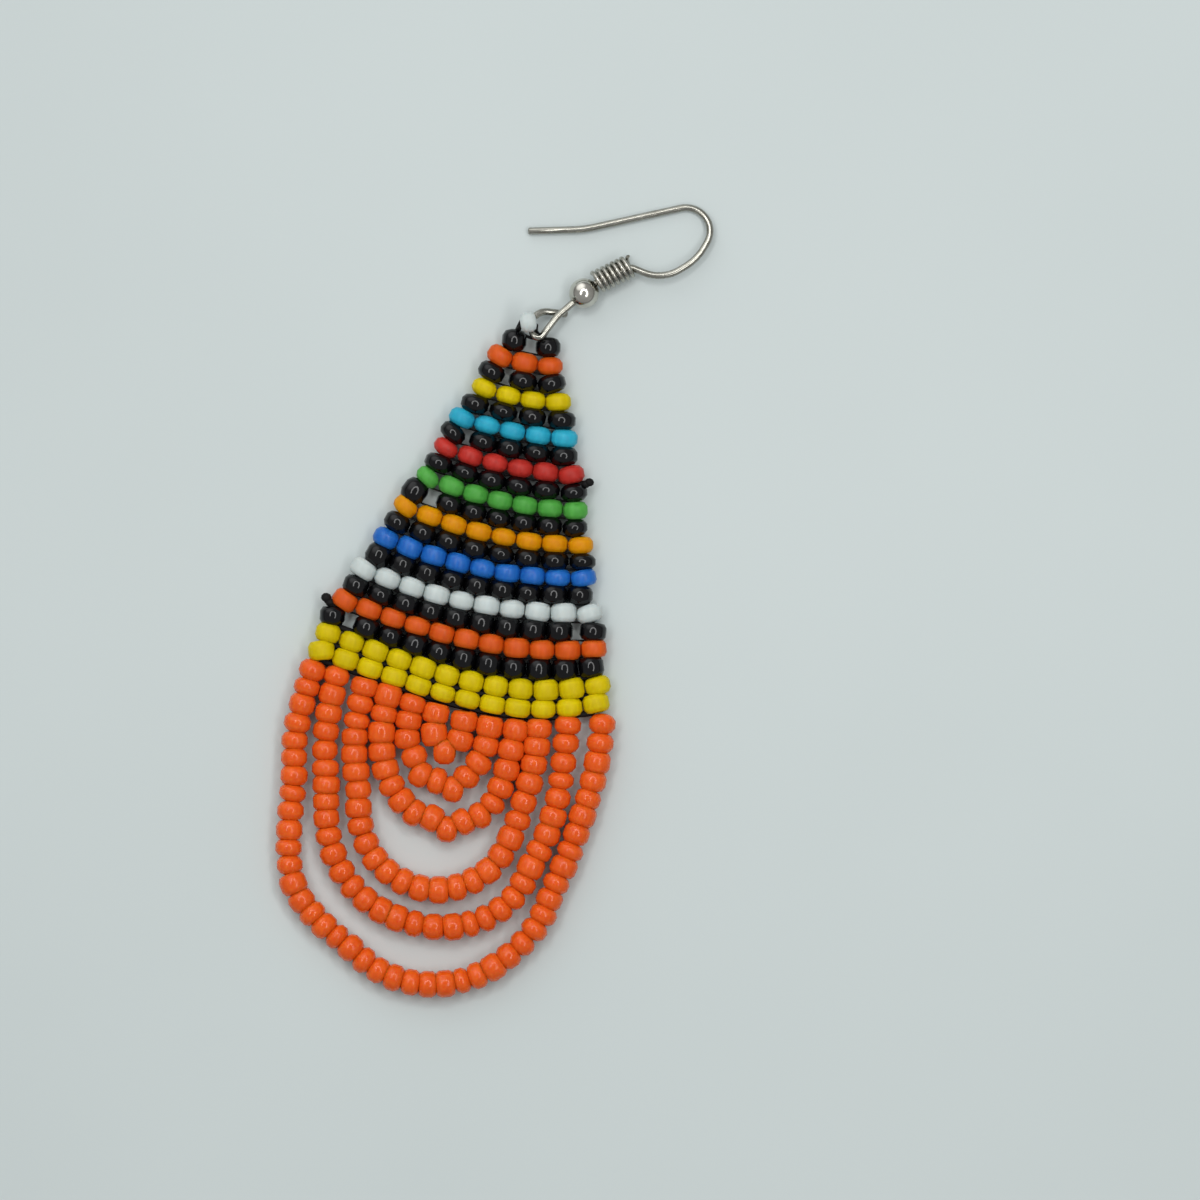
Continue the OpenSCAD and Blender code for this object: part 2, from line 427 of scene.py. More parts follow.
@dataclass(frozen=True)
class NickelFinish:
    """Bright nickel plating with fine drawing marks and a little haze.

    Attributes:
        name: Name of the material.
        colour: Colour of the plating.
        haze: Colour of the duller patches in it.
        roughness: How dull the plating is.
        grain: Size of its duller marks.
        marks: Depth of its marks.
        patch: Size of its patches of haze.
        bright: How many times as dull as the rest its brightest marks are.
        worn: How many times as dull as the rest its dullest marks are.
        fineness: Size of its relief, as a share of the size of its duller marks.
        relief: Share of the marks' depth that is shown.
    """

    name: str
    colour: Levels
    haze: Levels
    roughness: float
    grain: float
    marks: float
    patch: float = 1.2
    bright: float = 0.7
    worn: float = 1.4
    fineness: float = 0.6
    relief: float = 0.3

    def material(self) -> bpy.types.Material:
        """Makes a metal whose colour and gloss both vary a little.

        Returns:
            The new material.
        """
        sheet = MaterialSheet(self.name)
        patches = sheet.noise(self.patch, detail=3)
        sheet.paint(sheet.blend(sheet.spread(patches, 0.0, 1.0), self.colour, self.haze))
        marks = sheet.noise(self.grain, detail=3)
        sheet.dull(sheet.spread(marks, self.roughness * self.bright, self.roughness * self.worn))
        sheet.set("Metallic", 1.0)
        sheet.bump(sheet.noise(self.grain * self.fineness, detail=2), self.marks, self.relief)
        return sheet.material


@dataclass(frozen=True)
class ThreadFinish:
    """Waxed black beading thread.

    Attributes:
        name: Name of the material.
        fibre: Width of one fibre.
        colour: Colour between the fibres.
        worn: Colour of the fibres that catch the light, a painted sheen.
        roughness: How dull it is.
        shine: Level of the mirror-like part, where 0.5 is plain glass.
        depth: Depth of the fibres.
        relief: Share of their depth that is shown.
    """

    name: str = "black_thread"
    fibre: float = 0.08
    colour: Levels = (8, 8, 9)
    worn: Levels = (24, 22, 22)
    roughness: float = 0.7
    shine: float = 0.2
    depth: float = 0.03
    relief: float = 0.6

    def material(self) -> bpy.types.Material:
        """Makes dark fibres, with a painted sheen on the lighter ones and a little real gloss.

        Returns:
            The new material.
        """
        sheet = MaterialSheet(self.name)
        fibres = sheet.noise(self.fibre, detail=3)
        # The lighter fibres are painted sheen: fibres drawn as if they catch the light
        sheet.paint(sheet.blend(sheet.spread(fibres, 0.0, 1.0), self.colour, self.worn))
        sheet.set("Roughness", self.roughness)
        sheet.set("Specular IOR Level", self.shine)
        sheet.bump(fibres, self.depth, self.relief)
        return sheet.material


@dataclass(frozen=True)
class TableFinish:
    """Plain pale table top.

    Attributes:
        name: Name of the material.
        colour: Colour of the top.
        worn: Colour of its slightly greyer patches.
        patch: Size of those patches.
        roughness: How dull it is.
        shine: Level of the mirror-like part, where 0.5 is plain glass.
    """

    name: str = "pale_table"
    colour: Levels = (201, 210, 209)
    worn: Levels = (198, 207, 206)
    patch: float = 60.0
    roughness: float = 0.6
    shine: float = 0.3

    def material(self) -> bpy.types.Material:
        """Makes a satin top with very faint patches.

        Returns:
            The new material.
        """
        sheet = MaterialSheet(self.name)
        patches = sheet.noise(self.patch, detail=3)
        sheet.paint(sheet.blend(sheet.spread(patches, 0.0, 1.0), self.colour, self.worn))
        sheet.set("Roughness", self.roughness)
        sheet.set("Specular IOR Level", self.shine)
        return sheet.material


class Glass(Enum):
    """The colours of bead glass in the earring, each with its finish."""

    BLACK = GlassFinish("black_glass", (7, 7, 9), (3, 3, 5), 0.09, 0.34, clear=0.0, pits=0.008)
    ORANGE = GlassFinish("orange_glass", (222, 98, 20), (192, 72, 10), 0.42, 0.25)
    YELLOW = GlassFinish("yellow_glass", (217, 195, 0), (190, 168, 0), 0.45, 0.16)
    TURQUOISE = GlassFinish("turquoise_glass", (48, 176, 202), (28, 148, 180), 0.42, 0.25)
    RED = GlassFinish("red_glass", (196, 54, 44), (158, 32, 26), 0.42, 0.25)
    GREEN = GlassFinish("green_glass", (90, 174, 76), (60, 142, 50), 0.42, 0.25)
    AMBER = GlassFinish("amber_glass", (221, 151, 0), (196, 123, 0), 0.42, 0.16)
    BLUE = GlassFinish("blue_glass", (34, 114, 198), (20, 86, 168), 0.32, 0.32)
    WHITE = GlassFinish("white_glass", (200, 209, 207), (186, 195, 193), 0.42, 0.3)
    CORAL = GlassFinish("coral_glass", (233, 101, 26), (212, 80, 14), 0.12, 0.3, clear=0.8, worn=2.4)


class Nickel(Enum):
    """The plated pieces of the ear wire, each with its finish."""

    WIRE = NickelFinish("nickel_wire", (172, 171, 162), (150, 148, 138), 0.22, 0.9, 0.004)
    BALL = NickelFinish("nickel_ball", (214, 212, 203), (186, 183, 173), 0.14, 0.9, 0.03)
    COIL = NickelFinish("nickel_coil", (192, 190, 181), (170, 168, 158), 0.22, 0.6, 0.004)


class BeadForm(Enum):
    """The shapes of seed bead that turn up, each as the rings from its waist to its hole.

    Each ring is a share of the bead's half length and a share of its half width.
    """

    PILLOW = ((0.40, 0.98), (0.84, 0.76), (1.0, 0.40))
    ROUND = ((0.34, 0.97), (0.78, 0.72), (0.98, 0.36))
    BARREL = ((0.48, 0.99), (0.90, 0.80), (1.0, 0.44))


@dataclass(frozen=True)
class BeadMould:
    """One glass seed bead, lying at the origin with its hole along Y.

    Attributes:
        form: The rings of its outline.
        width: Width across the bead.
        length: Length along its hole.
        sides: Faces round it.
        edge_angle: Edges sharper than this stay sharp.
    """

    form: BeadForm
    width: float
    length: float
    sides: int = 12
    edge_angle: float = 60.0

    def build(self) -> bpy.types.Object:
        """Draws a short cylinder out into a bead, ring by ring, and joins its ends into a hole.

        Returns:
            The bead, which is only a mould for copies.
        """
        rings = self.form.value
        deselect_all()
        bpy.ops.mesh.primitive_cylinder_add(
            vertices=self.sides,
            radius=rings[0][1] * self.width / 2 * MM,
            depth=rings[0][0] * self.length * MM,
            rotation=(math.pi / 2, 0, 0),
        )
        bead = bpy.context.object
        apply_place()
        select_faces(bead, lambda face: abs(face.normal.y) > FACING)
        # An inset is measured at the middle of an edge, and a ring at its corners
        edge_share = math.cos(math.pi / self.sides)
        for ring, further in zip(rings, rings[1:]):
            inwards = (ring[1] - further[1]) * self.width / 2 * edge_share
            outwards = (further[0] - ring[0]) * self.length / 2
            bpy.ops.mesh.inset(thickness=inwards * MM, depth=outwards * MM)
        bpy.ops.mesh.bridge_edge_loops()
        mend_normals()
        smooth(bead, self.edge_angle)
        return bead


@dataclass(frozen=True)
class BeadPlace:
    """Where and how one bead is set.

    Attributes:
        middle: Its middle, in metres in the frame.
        heading: Direction of its hole in the plane of the surface, from X.
        lean: How far its hole leans out of that plane.
        width: Its width.
        length: Its length.
        tone: How dark it is beside its neighbours, from 0 to 1.
    """

    middle: Vector
    heading: float
    lean: float
    width: float
    length: float
    tone: float


@dataclass
class BeadTray:
    """Makes the moulds once and sets copies of them.

    Attributes:
        seed: Start of its random draws.
        width: Width of the moulds.
        length: Length of the moulds.
        widths: Shares of its usual width between which a bead's own width lies.
        tones: Tones between which a bead's own tone lies.
        lift: Share of the rise of its rounded ends by which a leaning bead is lifted.
        moulds: One mould of each form.
        glasses: The material of each glass.
        chance: Source of the beads' small differences.
    """

    seed: int
    width: float = 2.4
    length: float = 1.7
    widths: tuple[float, float] = (0.97, 1.02)
    tones: tuple[float, float] = (0.0, 0.35)
    lift: float = 0.5
    moulds: dict[BeadForm, bpy.types.Object] = field(init=False)
    glasses: dict[Glass, bpy.types.Material] = field(init=False)
    chance: random.Random = field(init=False)

    def __post_init__(self) -> None:
        """Makes one mould of each form, every glass and a source of small differences."""
        self.moulds = {form: BeadMould(form, self.width, self.length).build() for form in BeadForm}
        self.glasses = {glass: glass.value.material() for glass in Glass}
        self.chance = random.Random(self.seed)

    def place(
        self,
        x: float,
        y: float,
        heading: float,
        width: float,
        length: float,
        slack: float,
    ) -> BeadPlace:
        """Lays a bead on the surface, with the small differences that every seed bead has.

        Args:
            x: Place of its middle along X.
            y: Place of its middle along Y.
            heading: Direction of its hole from X.
            width: Its usual width.
            length: The length that it may take up.
            slack: How far it may turn either way.

        Returns:
            The bead's place.
        """
        lean = self.chance.uniform(-slack, slack)
        own_width = width * self.chance.uniform(*self.widths)
        rise = length / 2 * abs(math.sin(math.radians(lean)))
        return BeadPlace(
            middle=metres(x, y, own_width / 2 + rise * self.lift),
            heading=heading + self.chance.uniform(-slack, slack),
            lean=lean,
            width=own_width,
            length=length,
            tone=self.chance.uniform(*self.tones),
        )

    def set_bead(self, place: BeadPlace, forms: Sequence[BeadForm]) -> bpy.types.Object:
        """Copies a mould to a place, with its own mesh.

        Args:
            place: Where and how the bead is set.
            forms: The forms that the bead may have.

        Returns:
            The new bead.
        """
        mould = self.moulds[self.chance.choice(forms)]
        bead = mould.copy()
        bead.data = mould.data.copy()
        bpy.context.collection.objects.link(bead)
        across = place.width / self.width
        size = Matrix.Diagonal((across, place.length / self.length, across, 1.0))
        spin = Matrix.Rotation(self.chance.uniform(0, math.tau), 4, "Y")
        lean = Matrix.Rotation(math.radians(place.lean), 4, "X")
        heading = Matrix.Rotation(math.radians(place.heading - 90), 4, "Z")
        bead.data.transform(Matrix.Translation(place.middle) @ heading @ lean @ spin @ size)
        tone = bead.data.attributes.new(BEAD_TONE, "FLOAT", "POINT")
        for value in tone.data:
            value.value = place.tone
        return bead

    def string(
        self,
        name: str,
        places: Sequence[BeadPlace],
        glass: Glass,
        forms: Sequence[BeadForm],
    ) -> bpy.types.Object:
        """Sets a number of beads of one glass and joins them into one piece.

        Args:
            name: Name of the piece.
            places: The beads' places.
            glass: Their glass.
            forms: The forms that they may have.

        Returns:
            The piece.
        """
        piece = join(name, [self.set_bead(place, forms) for place in places])
        dress(piece, self.glasses[glass])
        return piece

    def put_away(self) -> None:
        """Deletes the moulds, which are no part of the earring."""
        deselect_all()
        for mould in self.moulds.values():
            mould.select_set(True)
        bpy.ops.object.delete()


@dataclass(frozen=True)
class BeadRow:
    """One row of the panel.

    Attributes:
        glass: Glass of its beads.
        first: Place of its first bead.
        last: Place of its last bead.
        sag: How far its middle hangs below the straight line between those two.
        leans: How far its first and its last bead are turned clockwise.
        rooms: Room left free after its first and before its last bead.
        skew: How much more it hangs towards its last bead, and less towards its first.
        first_length: Length of its first bead, where that is not the room between the rows.
        width: Width of its beads, where that is not worked out from their distance.
        narrowest: Least width that is worked out so.
        widest: Greatest width that is worked out so.
    """

    glass: Glass
    first: Spot
    last: Spot
    sag: float
    leans: tuple[float, float]
    rooms: tuple[float, float] = (0.0, 0.0)
    skew: float = 0.0
    first_length: float | None = None
    width: float | None = None
    narrowest: float = 2.5
    widest: float = 2.78

    @property
    def chord(self) -> Vector:
        """The straight line from the first bead to the last one."""
        return Vector(self.last) - Vector(self.first)

    def pitch(self, beads: int) -> float:
        """Returns the distance from one of its beads to the next, apart from the rooms left free."""
        return (self.chord.length - self.rooms[0] - self.rooms[1]) / (beads - 1)

    def bead_width(self, beads: int) -> float:
        """Returns the width of its beads, which touch each other unless they stand too far apart."""
        return self.width or min(max(self.pitch(beads), self.narrowest), self.widest)

    def shares(self, beads: int) -> list[float]:
        """Works out where its beads stand.

        Args:
            beads: Number of its beads.

        Returns:
            The share of the straight line at which each bead stands.
        """
        length = self.chord.length
        pitch = self.pitch(beads)
        shares = []
        for i in range(beads):
            room = self.rooms[0] if i > 0 else 0.0
            room += self.rooms[1] if i == beads - 1 else 0.0
            shares.append((i * pitch + room) / length)
        return shares

    def point(self, share: float) -> Vector:
        """Finds a place on the row's curve, which is a parabola, skewed to one side.

        Args:
            share: Share of the straight line, from its first bead.

        Returns:
            The place, as a two-dimensional vector.
        """
        drop = 4 * self.sag * share * (1 - share) * (1 + self.skew * (2 * share - 1))
        along = self.chord.normalized()
        return Vector(self.first) + share * self.chord + drop * Vector((along.y, -along.x))

    def turn(self, share: float) -> float:
        """Finds the direction of the row's curve.

        Args:
            share: Share of the straight line, from its first bead.

        Returns:
            The direction from X.
        """
        even = (1 - 2 * share) * (1 + self.skew * (2 * share - 1))
        slope = 4 * self.sag * (even + 2 * self.skew * share * (1 - share)) / self.chord.length
        return math.degrees(math.atan2(self.chord.y, self.chord.x) - math.atan(slope))

    def lean(self, share: float) -> float:
        """Finds how far a bead is turned clockwise.

        Args:
            share: Share of the straight line at which it stands.

        Returns:
            Its turn, which only the first and the last bead have.
        """
        if share == 0:
            return self.leans[0]
        return self.leans[1] if math.isclose(share, 1.0) else 0.0

    def height_at(self, x: float) -> float:
        """Returns the row's y beside a given x, also a little past its ends."""
        share = (x - self.first[0]) / (self.last[0] - self.first[0])
        return self.point(min(max(share, 0.0), 1.0)).y


@dataclass(frozen=True)
class BeadPanel:
    """The triangular panel: 21 rows of beads stitched side by side and row to row.

    Attributes:
        close: Width of a bead as a share of the room that it has, over 1 because beads are round.
        longest: Greatest length of a bead.
        fill: Length of a bead as a share of the room between the rows.
        slack: How far a bead may turn either way.
        seam_height: Height of the thread between the rows.
        forms: Forms of the beads in the upper rows.
        lower_forms: Forms of the beads in the lower rows.
        lower_from: Number of the first of the lower rows.
        rows: The rows, from the hook down.
    """

    close: float = 1.05
    longest: float = 2.3
    fill: float = 1.04
    slack: float = 5.0
    seam_height: float = 1.1
    forms: tuple[BeadForm, ...] = (BeadForm.PILLOW, BeadForm.ROUND, BeadForm.PILLOW)
    lower_forms: tuple[BeadForm, ...] = (BeadForm.BARREL, BeadForm.BARREL, BeadForm.PILLOW)
    lower_from: int = 14
    rows: tuple[BeadRow, ...] = (
        BeadRow(Glass.BLACK, (-0.8, -1.85), (2.65, -1.9), 0.0, (-6, -8), first_length=2.15, width=2.4),
        BeadRow(Glass.ORANGE, (-1.9, -3.7), (3.2, -3.7), 0.2, (10, -3)),
        BeadRow(Glass.BLACK, (-2.4, -5.35), (3.7, -5.35), 0.4, (6, -6), rooms=(0.4, 0.0)),
        BeadRow(Glass.YELLOW, (-2.8, -7.15), (4.7, -7.05), 0.3, (6, -7)),
        BeadRow(Glass.BLACK, (-3.4, -8.8), (5.4, -8.7), 0.3, (-7, 5)),
        BeadRow(Glass.TURQUOISE, (-4.4, -10.5), (6.0, -10.5), 0.3, (10, -3)),
        BeadRow(Glass.BLACK, (-5.0, -12.1), (6.3, -12.2), 0.3, (23, -5), rooms=(0.4, 0.0)),
        BeadRow(Glass.RED, (-5.4, -13.7), (7.4, -13.9), 0.5, (15, -17)),
        BeadRow(Glass.BLACK, (-5.8, -15.3), (8.0, -15.6), 0.6, (0, -4)),
        BeadRow(Glass.GREEN, (-6.6, -16.9), (8.5, -17.3), 0.7, (23, -6)),
        BeadRow(Glass.BLACK, (-7.6, -18.5), (8.8, -19.0), 0.8, (14, -3), rooms=(1.1, 0.0), first_length=2.5),
        BeadRow(Glass.AMBER, (-8.2, -20.2), (9.7, -20.6), 0.9, (22, -8)),
        BeadRow(Glass.BLACK, (-8.7, -21.9), (10.2, -22.2), 1.0, (2, -1)),
        BeadRow(Glass.BLUE, (-9.5, -23.7), (10.6, -23.75), 1.1, (6, -11)),
        BeadRow(Glass.BLACK, (-9.9, -25.5), (10.6, -25.45), 1.1, (4, 3), first_length=2.35),
        BeadRow(Glass.WHITE, (-11.1, -27.2), (11.9, -27.1), 1.2, (12, -20)),
        BeadRow(Glass.BLACK, (-11.5, -28.9), (12.6, -28.8), 1.3, (-3, 6), rooms=(0.0, 0.7)),
        BeadRow(Glass.ORANGE, (-12.3, -30.6), (13.0, -30.5), 1.5, (15, 0), skew=0.25),
        BeadRow(Glass.BLACK, (-13.2, -32.3), (13.1, -32.2), 1.6, (-13, 0), rooms=(1.0, 0.0), skew=0.45),
        BeadRow(Glass.YELLOW, (-13.3, -34.1), (14.1, -34.0), 2.1, (-12, 2), skew=0.4),
        BeadRow(Glass.YELLOW, (-13.6, -36.0), (14.3, -35.8), 1.95, (-24, 3), skew=0.5),
    )

    @staticmethod
    def beads_in(number: int) -> int:
        """Returns the beads in a row: two in the first, three in the next two, and so on."""
        return number // 2 + 2

    def room(self, number: int, x: float) -> tuple[float, float]:
        """Finds the room above a row's line and below it, up to half-way to its neighbours.

        Args:
            number: Number of the row, counted from the hook.
            x: Where along the row the room is wanted.

        Returns:
            The room above and the room below, which are alike where a row has one neighbour only.
        """
        own = self.rows[number - 1].height_at(x)
        above = self.rows[number - 2].height_at(x) - own if number > 1 else None
        below = own - self.rows[number].height_at(x) if number < len(self.rows) else None
        return (above or below) / 2, (below or above) / 2

    def row_places(self, number: int, tray: BeadTray) -> list[BeadPlace]:
        """Works out where the beads of a row are set, each one filling its room.

        Args:
            number: Number of the row, counted from the hook.
            tray: The tray that gives each bead its small differences.

        Returns:
            One place for each bead.
        """
        row = self.rows[number - 1]
        width = row.bead_width(self.beads_in(number)) * self.close
        places = []
        for share in row.shares(self.beads_in(number)):
            spot = row.point(share)
            above, below = self.room(number, spot.x)
            length = min((above + below) * self.fill, self.longest)
            if share == 0 and row.first_length:
                length = row.first_length
            heading = row.turn(share) + 90 - row.lean(share)
            middle_y = spot.y + (above - below) / 2
            places.append(tray.place(spot.x, middle_y, heading, width, length, self.slack))
        return places

    def seam(self, number: int, below: bool = False) -> list[Point]:
        """Finds the way of the thread along one side of a row.

        Args:
            number: Number of the row, counted from the hook.
            below: Whether the thread runs below the row, and not above it.

        Returns:
            Points of the way.
        """
        row = self.rows[number - 1]
        way = []
        for share in row.shares(self.beads_in(number)):
            spot = row.point(share)
            above, under = self.room(number, spot.x)
            way.append((spot.x, spot.y + (-under if below else above), self.seam_height))
        return way

    def build(self, tray: BeadTray) -> list[bpy.types.Object]:
        """Builds every row and stands it in the place of its CAD node.

        Args:
            tray: The tray that the beads come from.

        Returns:
            The rows.
        """
        pieces = []
        for number, row in enumerate(self.rows, start=1):
            name = f"row_{number:02d}_{row.glass.name.lower()}_beads"
            forms = self.forms if number < self.lower_from else self.lower_forms
            piece = tray.string(name, self.row_places(number, tray), row.glass, forms)
            pieces.append(hand_over(piece, row.glass.value.name, f"bead_row_{number:02d}"))
        return pieces


@dataclass(frozen=True)
class Swag:
    """One string of beads that hangs from the panel.

    Attributes:
        beads: Number of its beads.
        route: Points of its centre line, from its left end round its lowest point to its right end.
    """

    beads: int
    route: tuple[Spot, ...]

    def line(self, steps: int = 12) -> list[Vector]:
        """Draws a smooth centre line through the route's points, as a Catmull-Rom curve.

        Args:
            steps: Short straight stretches between two points of the route.

        Returns:
            Points of the line, as two-dimensional vectors.
        """
        route = [Vector(point) for point in self.route]
        ends = [2 * route[0] - route[1]] + route + [2 * route[-1] - route[-2]]
        line = []
        for before, start, stop, after in zip(ends, ends[1:], ends[2:], ends[3:]):
            for step in range(steps):
                t = step / steps
                line.append(
                    0.5 * (
                        2 * start
                        + t * (stop - before)
                        + t * t * (2 * before - 5 * start + 4 * stop - after)
                        + t ** 3 * (3 * start - before - 3 * stop + after)
                    )
                )
        return line + [route[-1]]


@dataclass(frozen=True)
class SwagFringe:
    """The six nested strings of beads below the panel.

    Attributes:
        width: Width of the beads.
        slack: How far a bead may turn either way.
        uneven: Share by which a bead may be shorter or longer than the usual one.
        close: Length of a bead as a share of the room that it has, over 1 because its ends are round.
        forms: Forms of the beads.
        swags: The strings, from the longest to the shortest.
    """

    width: float = 2.78
    slack: float = 6.0
    uneven: float = 0.12
    close: float = 1.1
    forms: tuple[BeadForm, ...] = (BeadForm.BARREL, BeadForm.PILLOW, BeadForm.PILLOW, BeadForm.ROUND)
    swags: tuple[Swag, ...] = (
        Swag(42, (
            (-14.0, -37.1), (-14.4, -41.0), (-14.5, -45.0), (-13.8, -49.0), (-13.4, -53.0), (-12.7, -57.0),
            (-11.3, -60.1), (-8.5, -62.5), (-5.3, -64.3), (-2.0, -66.1), (1.6, -66.7), (5.2, -66.1),
            (8.6, -64.3), (11.3, -61.4), (13.0, -58.3), (13.7, -55.0), (14.5, -51.5), (15.1, -47.5),
            (15.5, -43.5), (15.5, -40.0), (15.2, -36.75),
        )),
        Swag(33, (
            (-11.6, -37.25), (-11.7, -41.5), (-11.4, -45.2), (-10.5, -49.0), (-9.7, -52.8), (-8.1, -56.2),
            (-5.4, -58.9), (-2.2, -60.4), (1.3, -60.9), (4.8, -60.4), (7.9, -58.8), (10.1, -56.2),
            (11.2, -52.7), (12.1, -49.3), (12.4, -45.5), (12.2, -41.5), (11.9, -37.65),
        )),
        Swag(26, (
            (-8.65, -37.85), (-8.8, -41.8), (-8.4, -45.3), (-7.3, -48.8), (-6.5, -52.0), (-4.7, -54.9),
            (-2.0, -56.7), (1.4, -57.3), (4.6, -56.3), (7.2, -54.0), (8.5, -50.8), (9.1, -47.2),
            (9.4, -43.0), (9.1, -38.45),
        )),
        Swag(17, (
            (-6.2, -38.05), (-6.2, -42.0), (-5.6, -45.0), (-4.1, -47.8), (-1.7, -49.9), (0.4, -50.2),
            (2.2, -51.0), (3.8, -49.8), (5.6, -48.6), (6.4, -46.6), (6.8, -44.5), (6.9, -41.8), (7.0, -38.95),
        )),
        Swag(11, (
            (-3.6, -38.55), (-3.7, -41.2), (-3.4, -43.3), (-2.4, -44.6), (-1.8, -46.0), (0.3, -46.5),
            (2.3, -46.9), (3.3, -44.9), (4.2, -43.3), (4.35, -41.5), (4.3, -39.15),
        )),
        Swag(5, (
            (-1.2, -38.95), (-1.1, -41.2), (-0.6, -42.7), (0.4, -43.4), (1.4, -42.7), (1.8, -41.2),
            (1.6, -39.15),
        )),
    )

    def swag_places(self, swag: Swag, tray: BeadTray) -> list[BeadPlace]:
        """Strings the beads of a swag along its centre line, each touching the next.

        Args:
            swag: The swag.
            tray: The tray that gives each bead its small differences.

        Returns:
            One place for each bead.
        """
        line = swag.line()
        reach = [0.0]
        for start, stop in zip(line, line[1:]):
            reach.append(reach[-1] + (stop - start).length)
        lengths = [tray.chance.uniform(1 - self.uneven, 1 + self.uneven) for _ in range(swag.beads)]
        share = reach[-1] / sum(lengths)
        places = []
        passed = 0.0
        for length in lengths:
            middle = passed + length * share / 2
            passed += length * share
            i = max(k for k, done in enumerate(reach[:-1]) if done <= middle)
            ahead = (line[i + 1] - line[i]).normalized()
            spot = line[i] + (middle - reach[i]) * ahead
            heading = math.degrees(math.atan2(ahead.y, ahead.x))
            own_length = length * share * self.close
            places.append(tray.place(spot.x, spot.y, heading, self.width, own_length, self.slack))
        return places

    def build(self, tray: BeadTray) -> list[bpy.types.Object]:
        """Builds every swag and stands it in the place of its CAD node.

        Args:
            tray: The tray that the beads come from.

        Returns:
            The swags.
        """
        pieces = []
        for number, swag in enumerate(self.swags, start=1):
            places = self.swag_places(swag, tray)
            piece = tray.string(f"swag_{number}_beads", places, Glass.CORAL, self.forms)
            pieces.append(hand_over(piece, Glass.CORAL.value.name, f"swag_{number}"))
        return pieces


@dataclass(frozen=True)
class TopBead:
    """The single white bead that ties the panel to the eye of the ear wire.

    Attributes:
        place: Its middle.
        heading: Direction of its hole from X.
        width: Its width.
        length: Its length.
        tone: How dark it is, from 0 to 1.
    """

    place: Point = (0.25, 0.1, 3.4)
    heading: float = 20.0
    width: float = 2.1
    length: float = 1.6
    tone: float = 0.1

    def build(self, tray: BeadTray) -> bpy.types.Object:
        """Sets the bead over the eye.

        Args:
            tray: The tray that it comes from.

        Returns:
            The bead.
        """
        spot = BeadPlace(metres(*self.place), self.heading, 0.0, self.width, self.length, self.tone)
        piece = tray.string("white_top_bead", [spot], Glass.WHITE, [BeadForm.PILLOW])
        return hand_over(piece, Glass.WHITE.value.name, "top_bead")


@dataclass(frozen=True)
class Bend:
    """A straight stretch of wire and the bend after it.

    Attributes:
        straight: Length of the stretch.
        roll: How far the bend's plane is rolled about the wire.
        radius: Radius of the bend.
        angle: Its angle, positive to the left.
    """

    straight: float
    roll: float
    radius: float
    angle: float


@dataclass
class WireBender:
    """Bends a round wire by extruding a ring along straights and spinning it round bends.

    Attributes:
        place: Where the wire has got to, in metres.
        ahead: Direction in which it goes on.
        left: Direction to its left, in the plane of its last bend.
        width: Thickness of the wire.
        sides: Faces round it.
        step: Angle of one short stretch of a bend.
        tip_length: Length of the rounding at its end.
        tip_share: Share of its thickness that is left at its end.
        wire: The wire as a mesh object.
    """

    place: Vector
    ahead: Vector
    left: Vector
    width: float
    sides: int = 20
    step: float = 7.0
    tip_length: float = 0.12
    tip_share: float = 0.7
    wire: bpy.types.Object = field(init=False)

    def __post_init__(self) -> None:
        """Lays the first ring of the wire and leaves it selected in edit mode."""
        deselect_all()
        bpy.ops.mesh.primitive_circle_add(
            vertices=self.sides,
            radius=self.width / 2 * MM,
            location=self.place,
            rotation=self.ahead.to_track_quat("Z", "Y").to_euler(),
        )
        self.wire = bpy.context.object
        apply_place()
        bpy.ops.object.mode_set(mode="EDIT")
        bpy.ops.mesh.select_mode(type="EDGE")
        bpy.ops.mesh.select_all(action="SELECT")

    def run(self, length: float) -> None:
        """Extrudes the wire straight ahead.

        Args:
            length: How far.
        """
        step = self.ahead * length * MM
        bpy.ops.mesh.extrude_region_move(TRANSFORM_OT_translate={"value": step})
        self.place = self.place + step

    def bend(self, bend: Bend) -> None:
        """Adds one straight stretch and the bend after it.

        Args:
            bend: The two of them.
        """
        self.run(bend.straight)
        self.left = Matrix.Rotation(math.radians(bend.roll), 3, self.ahead) @ self.left
        up = self.ahead.cross(self.left)
        centre = self.place + self.left * math.copysign(bend.radius * MM, bend.angle)
        # The operator spins the other way round than a matrix turns
        bpy.ops.mesh.spin(
            steps=max(2, round(abs(bend.angle) / self.step)),
            angle=-math.radians(bend.angle),
            center=centre,
            axis=up,
        )
        turn = Matrix.Rotation(math.radians(bend.angle), 3, up)
        self.place = centre + turn @ (self.place - centre)
        self.ahead = turn @ self.ahead
        self.left = turn @ self.left

    def finish(self, end: float) -> bpy.types.Object:
        """Adds the last straight stretch, rounds its end and closes it.

        Args:
            end: Length of the stretch with its rounded end.

        Returns:
            The wire, with all faces outwards.
        """
        self.run(end - self.tip_length)
        self.run(self.tip_length)
        bpy.ops.transform.resize(value=(self.tip_share,) * 3, center_override=self.place)
        bpy.ops.mesh.edge_face_add()
        mend_normals()
        return self.wire


